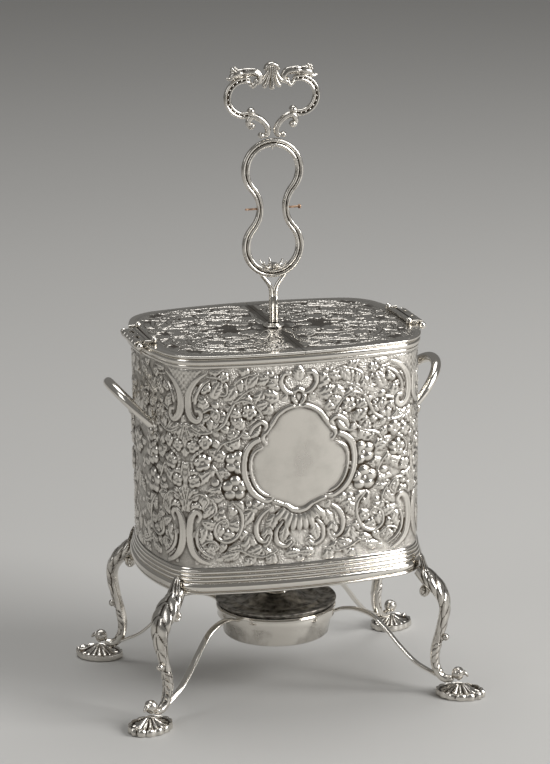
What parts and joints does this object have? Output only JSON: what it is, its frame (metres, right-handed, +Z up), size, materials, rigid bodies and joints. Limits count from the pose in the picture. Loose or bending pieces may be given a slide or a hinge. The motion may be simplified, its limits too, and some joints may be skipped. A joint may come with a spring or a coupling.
{
  "type": "egg boiler",
  "caption": "Oblong silver egg boiler on cabriole legs, with end-hinged half lids, a lifting egg rack with sand-glass holder and scroll grip, and a spirit lamp below.",
  "frame": {"origin": "on the ground, under the middle of the vessel", "axes": "+Z up, X along the long sides of the vessel, -Y towards the front with the cartouche"},
  "size_m": [0.2006, 0.1436, 0.3433],
  "materials": {
    "chased_silver": "chased and embossed silver plate with darkened recesses",
    "polished_silver": "polished silver plate with light handling wear",
    "cast_silver": "cast and chased silver with tarnish in the hollows",
    "plain_silver": "plain silver plate dulled by water",
    "lamp_silver": "silver plate blackened by the flame, with polished rings",
    "copper_pin": "copper showing through worn plate",
    "cotton_wick": "cotton wick, singed at the tip"
  },
  "bodies": {
    "boiler": {"body_shell": "chased_silver", "bottom_plate": "plain_silver", "base_moulding": "polished_silver", "rim_moulding": "polished_silver", "leg_front_left": "cast_silver", "leg_front_right": "cast_silver", "leg_back_right": "cast_silver", "leg_back_left": "cast_silver", "shell_foot_front_left": "cast_silver", "shell_foot_front_right": "cast_silver", "shell_foot_back_right": "cast_silver", "shell_foot_back_left": "cast_silver", "strap_front_left": "polished_silver", "strap_front_right": "polished_silver", "strap_back_right": "polished_silver", "strap_back_left": "polished_silver", "burner_ring": "polished_silver", "side_handle_left": "polished_silver", "side_handle_right": "polished_silver", "handle_leaf_left_a": "cast_silver", "handle_leaf_left_b": "cast_silver", "handle_leaf_right_a": "cast_silver", "handle_leaf_right_b": "cast_silver", "rim_hinge_plate_left": "cast_silver", "rim_hinge_plate_right": "cast_silver", "hinge_pin_left": "polished_silver", "hinge_pin_right": "polished_silver"},
    "lid_left": {"lid_left": "chased_silver", "collar_left": "polished_silver", "lid_hinge_leaf_left": "cast_silver"},
    "lid_right": {"lid_right": "chased_silver", "collar_right": "polished_silver", "lid_hinge_leaf_right": "cast_silver"},
    "egg_frame": {"stem": "polished_silver", "timer_frame": "polished_silver", "timer_calyx": "cast_silver", "grip_scroll_left": "cast_silver", "grip_scroll_right": "cast_silver", "grip_shell": "cast_silver", "rack_bar": "plain_silver", "egg_ring_1": "plain_silver", "egg_ring_2": "plain_silver", "egg_ring_3": "plain_silver", "egg_ring_4": "plain_silver", "egg_ring_5": "plain_silver", "egg_ring_6": "plain_silver", "rack_tray": "plain_silver", "rack_post_1": "plain_silver", "rack_post_2": "plain_silver", "rack_post_3": "plain_silver", "rack_post_4": "plain_silver"},
    "waist_pin_left": {"waist_pin_left": "copper_pin"},
    "waist_pin_right": {"waist_pin_right": "copper_pin"},
    "lamp": {"lamp_font": "polished_silver", "lamp_top": "lamp_silver", "wick_tube": "polished_silver"},
    "wick": {"wick": "cotton_wick"}
  },
  "joints": [
    {"name": "lid_left_hinge", "type": "hinge", "parent": "boiler", "child": "lid_left", "pos_m": [-0.0787, 0, 0.1982], "axis": [0, -1, 0], "range_deg": [0, 110]},
    {"name": "lid_right_hinge", "type": "hinge", "parent": "boiler", "child": "lid_right", "pos_m": [0.0787, 0, 0.1982], "axis": [0, 1, 0], "range_deg": [0, 110]},
    {"name": "egg_frame_lift", "type": "slide", "parent": "boiler", "child": "egg_frame", "axis": [0, 0, 1], "range_m": [0, 0.08]},
    {"name": "lamp_lift", "type": "slide", "parent": "boiler", "child": "lamp", "axis": [0, 0, 1], "range_m": [0, 0.008]},
    {"name": "wick_slide", "type": "slide", "parent": "lamp", "child": "wick", "axis": [0, 0, 1], "range_m": [0, 0.003]},
    {"name": "waist_pin_left_slide", "type": "slide", "parent": "egg_frame", "child": "waist_pin_left", "axis": [1, 0, 0], "range_m": [0, 0.004]},
    {"name": "waist_pin_right_slide", "type": "slide", "parent": "egg_frame", "child": "waist_pin_right", "axis": [-1, 0, 0], "range_m": [0, 0.004]}
  ]
}
